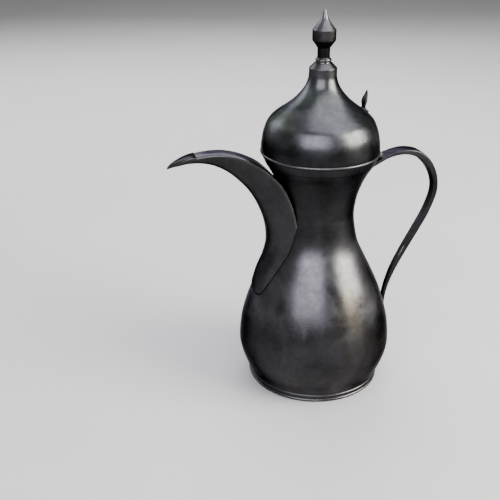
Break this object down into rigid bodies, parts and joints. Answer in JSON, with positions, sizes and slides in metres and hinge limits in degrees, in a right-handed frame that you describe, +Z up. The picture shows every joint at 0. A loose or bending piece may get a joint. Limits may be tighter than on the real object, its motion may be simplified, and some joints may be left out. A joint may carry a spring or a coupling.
{
  "type": "coffee pot",
  "caption": "Waisted dark metal coffee pot with a crescent spout, a looped strap handle and a hinged ogee lid with a turned finial.",
  "frame": {"origin": "middle of the foot, on the surface that the pot stands on", "axes": "+Z up along the pot's turned axis, -X towards the spout's tip, +X towards the handle"},
  "size_m": [0.2482, 0.14, 0.337],
  "materials": {
    "pot_metal": "dark patinated, semi-gloss",
    "lid_metal": "dark patinated, semi-gloss",
    "spout_metal": "dark patinated, satin",
    "handle_metal": "dark patinated, satin",
    "band_metal": "dark patinated, rubbed bright on the edges",
    "finial_metal": "dark patinated, semi-gloss",
    "hinge_metal": "dark patinated, satin",
    "fastener_metal": "satin"
  },
  "bodies": {
    "pot": {"foot_ring": "band_metal", "base_plate": "pot_metal", "belly_shell": "pot_metal", "neck_shell": "pot_metal", "mouth_collar": "band_metal", "spout_shell": "spout_metal", "spout_cover": "spout_metal", "handle_strap": "handle_metal", "handle_rivets": "fastener_metal", "hinge_bracket": "hinge_metal", "hinge_pin": "fastener_metal"},
    "lid": {"lid_dome": "lid_metal", "lid_rim_bead": "band_metal", "lid_skirt": "lid_metal", "lid_hinge_leaf": "hinge_metal", "lid_hinge_rivets": "fastener_metal", "thumb_leaf": "finial_metal", "thumb_rivet": "fastener_metal", "finial_socket": "finial_metal", "finial_ring": "finial_metal", "finial_knob": "finial_metal", "finial_washer": "fastener_metal", "finial_nut": "fastener_metal"}
  },
  "joints": [
    {"name": "lid_hinge", "type": "hinge", "parent": "pot", "child": "lid", "pos_m": [0.054, 0, 0.2125], "axis": [0, 1, 0], "range_deg": [0, 85]}
  ]
}
